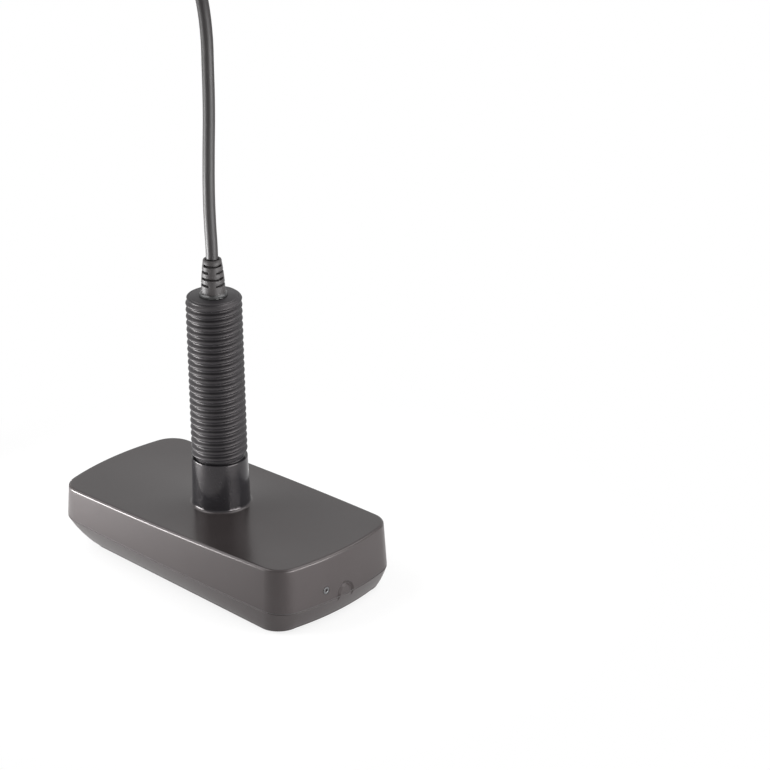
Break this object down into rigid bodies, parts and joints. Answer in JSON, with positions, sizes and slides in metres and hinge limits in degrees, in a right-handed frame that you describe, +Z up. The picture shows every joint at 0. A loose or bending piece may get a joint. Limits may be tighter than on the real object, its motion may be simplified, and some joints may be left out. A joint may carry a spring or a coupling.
{
  "type": "sonar transducer",
  "caption": "Through-hull sonar transducer with a blunt boat-shaped body, a tall threaded stem, a slotted cable boot and a coiled cable that ends in a round connector",
  "frame": {"origin": "centre of the body's outline on the flat acoustic face", "axes": "+X to the blunt stern end with the temperature sensor, +Y across the body, +Z up along the stem"},
  "size_m": [0.3507, 0.0961, 0.3282],
  "materials": {
    "housing_plastic": "dark warm grey moulding, fine matte grain, smoother and darker on the stem",
    "sealant": "black, shiny",
    "inner_plastic": "plain moulded grey",
    "ceramic": "fired ceramic, matte",
    "cork": "cork-filled rubber",
    "wire": "coloured insulation",
    "potting": "poured dark compound",
    "board": "green coated board",
    "bright_metal": "bright, smooth",
    "contact_metal": "plated contacts",
    "cable_jacket": "black jacket, satin",
    "boot_rubber": "black, satin",
    "strap": "black hook-and-loop strap",
    "shell_plastic": "black moulding"
  },
  "bodies": {
    "root": {"upper_housing": "housing_plastic", "lower_cover": "housing_plastic", "joint_bead": "sealant", "element_carrier": "inner_plastic", "disc_element": "ceramic", "disc_isolator": "cork", "array_element": "ceramic", "array_isolator": "cork", "element_leads": "wire", "potting_layer": "potting", "circuit_board": "board", "tuning_coil": "wire", "can_capacitors": "inner_plastic", "terminal_block": "inner_plastic", "sensor_button": "bright_metal", "thermistor": "potting", "sensor_leads": "wire", "cable_cores": "wire", "cable_tail": "cable_jacket", "crimp_ring": "contact_metal", "stem_potting": "potting", "strain_relief": "boot_rubber", "sealant_bead": "sealant", "cable_run": "cable_jacket", "cable_coil": "cable_jacket", "coil_ties": "strap", "cable_end": "cable_jacket", "connector_boot": "boot_rubber", "connector_shell": "shell_plastic", "connector_insert": "inner_plastic", "connector_pins": "contact_metal"}
  },
  "joints": []
}
